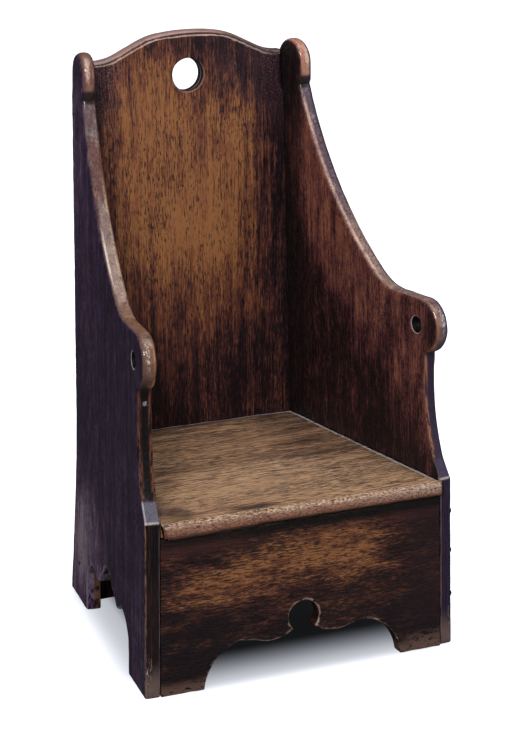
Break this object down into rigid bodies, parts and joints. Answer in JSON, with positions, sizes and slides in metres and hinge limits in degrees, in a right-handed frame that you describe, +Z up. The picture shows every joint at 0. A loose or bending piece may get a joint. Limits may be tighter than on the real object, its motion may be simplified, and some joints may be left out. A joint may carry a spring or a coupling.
{
  "type": "child's chair",
  "caption": "Child's chair of nailed boards: sides sawn to arms and ears, back with a hand hole, board seat, and an apron and sides with lobed arches between the feet.",
  "frame": {"origin": "middle of the chair's outline on the floor, at z = 0", "axes": "+X to the chair's side that is right in a front view, +Y to the back, +Z up"},
  "size_m": [0.35, 0.3418, 0.624],
  "materials": {
    "side_wood": "very dark worn varnish",
    "back_wood": "worn golden-brown varnish, darker at the edges",
    "seat_wood": "dry, worn bare",
    "apron_wood": "worn red-brown varnish",
    "bearer_wood": "unfinished, aged",
    "nail_iron": "wrought iron, dark and rusted"
  },
  "bodies": {
    "root": {"left_side_board": "side_wood", "right_side_board": "side_wood", "back_board": "back_wood", "seat_board": "seat_wood", "front_apron": "apron_wood", "left_seat_bearer": "bearer_wood", "right_seat_bearer": "bearer_wood", "left_back_nails": "nail_iron", "left_apron_nails": "nail_iron", "left_seat_nails": "nail_iron", "left_bearer_nails": "nail_iron", "right_back_nails": "nail_iron", "right_apron_nails": "nail_iron", "right_seat_nails": "nail_iron", "right_bearer_nails": "nail_iron", "rear_seat_nails": "nail_iron"}
  },
  "joints": []
}
